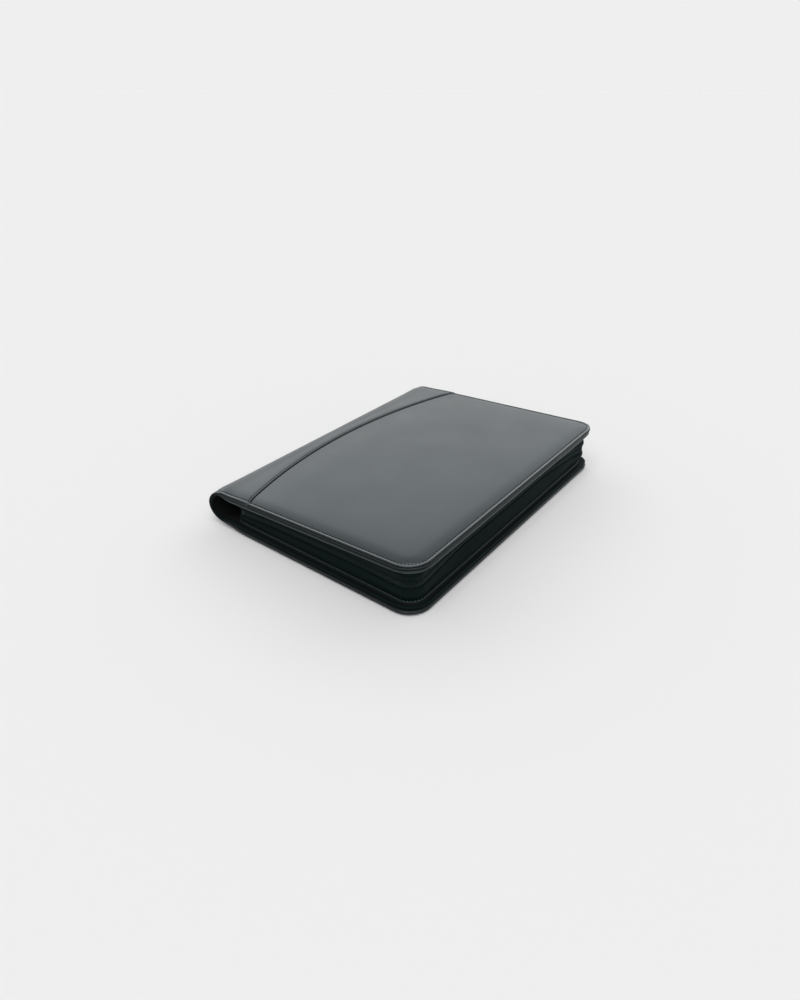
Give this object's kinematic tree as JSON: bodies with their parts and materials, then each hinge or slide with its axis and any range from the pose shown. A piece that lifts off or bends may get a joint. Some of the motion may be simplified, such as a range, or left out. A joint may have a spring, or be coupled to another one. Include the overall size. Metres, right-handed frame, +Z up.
{
  "type": "zippered padfolio",
  "caption": "Padded folio with a rounded spine and a zip round three sides, holding a writing pad in a sleeve, with pockets and a pen loop inside.",
  "frame": {"origin": "under the middle of the closed padfolio, on the surface that its back cover lies on", "axes": "+X from the spine to the fore edge, +Y along the spine to the head, +Z up through the front cover"},
  "size_m": [0.2658, 0.3576, 0.0554],
  "materials": {
    "cover_leather": "smooth black leatherette, semi-gloss",
    "inner_leather": "smooth black leatherette, satin",
    "lining": "black woven lining over foam",
    "foam": "sheet foam",
    "board": "grey millboard",
    "zip_tape": "woven tape",
    "zip_coil": "nylon coil",
    "zip_metal": "black nickel",
    "pad_paper": "ruled writing paper",
    "pad_board": "grey backing board",
    "pad_tape": "binding tape",
    "window_film": "clear vinyl",
    "elastic": "ribbed elastic"
  },
  "bodies": {
    "back_half": {"back_cover_leather": "cover_leather", "back_padding": "foam", "back_board": "board", "back_lining": "lining", "lower_gusset": "cover_leather", "lower_zip_tape": "zip_tape", "lower_zip_coil": "zip_coil", "zip_bottom_stop": "zip_metal", "lower_top_stop": "zip_metal", "pad_backing": "pad_board", "pad_sheets": "pad_paper", "pad_binding": "pad_tape", "pad_sleeve": "inner_leather"},
    "spine": {"spine_leather": "cover_leather", "spine_stiffener": "board", "spine_lining": "lining", "pen_loop": "elastic"},
    "front_half": {"front_cover_leather": "cover_leather", "front_yoke": "cover_leather", "front_padding": "foam", "front_board": "board", "front_lining": "lining", "upper_gusset": "cover_leather", "upper_zip_tape": "zip_tape", "upper_zip_coil": "zip_coil", "upper_top_stop": "zip_metal", "document_pocket": "inner_leather", "phone_pocket": "inner_leather", "card_pocket_1": "inner_leather", "card_pocket_2": "inner_leather", "card_pocket_3": "inner_leather", "window_frame": "inner_leather", "window_film": "window_film"},
    "slider": {"zip_slider": "zip_metal"},
    "pull": {"zip_pull": "zip_metal"}
  },
  "joints": [
    {"name": "spine_fold", "type": "hinge", "parent": "back_half", "child": "spine", "pos_m": [-0.12744, 0, 0.00734], "axis": [0, -1, 0], "range_deg": [0, 88.5], "deforming": ["lower_zip_tape", "upper_zip_tape", "lower_zip_coil", "upper_zip_coil"]},
    {"name": "cover_fold", "type": "hinge", "parent": "spine", "child": "front_half", "pos_m": [-0.12817, 0, 0.03529], "axis": [0, -1, 0], "range_deg": [0, 88.5]},
    {"name": "zip_slide", "type": "slide", "parent": "back_half", "child": "slider", "axis": [0.9997, 0, 0.0261], "range_m": [0, 0.185]},
    {"name": "pull_swing", "type": "hinge", "parent": "slider", "child": "pull", "pos_m": [-0.08311, 0.173, 0.02248], "axis": [0.0261, 0, -0.9997], "range_deg": [0, 170]}
  ]
}
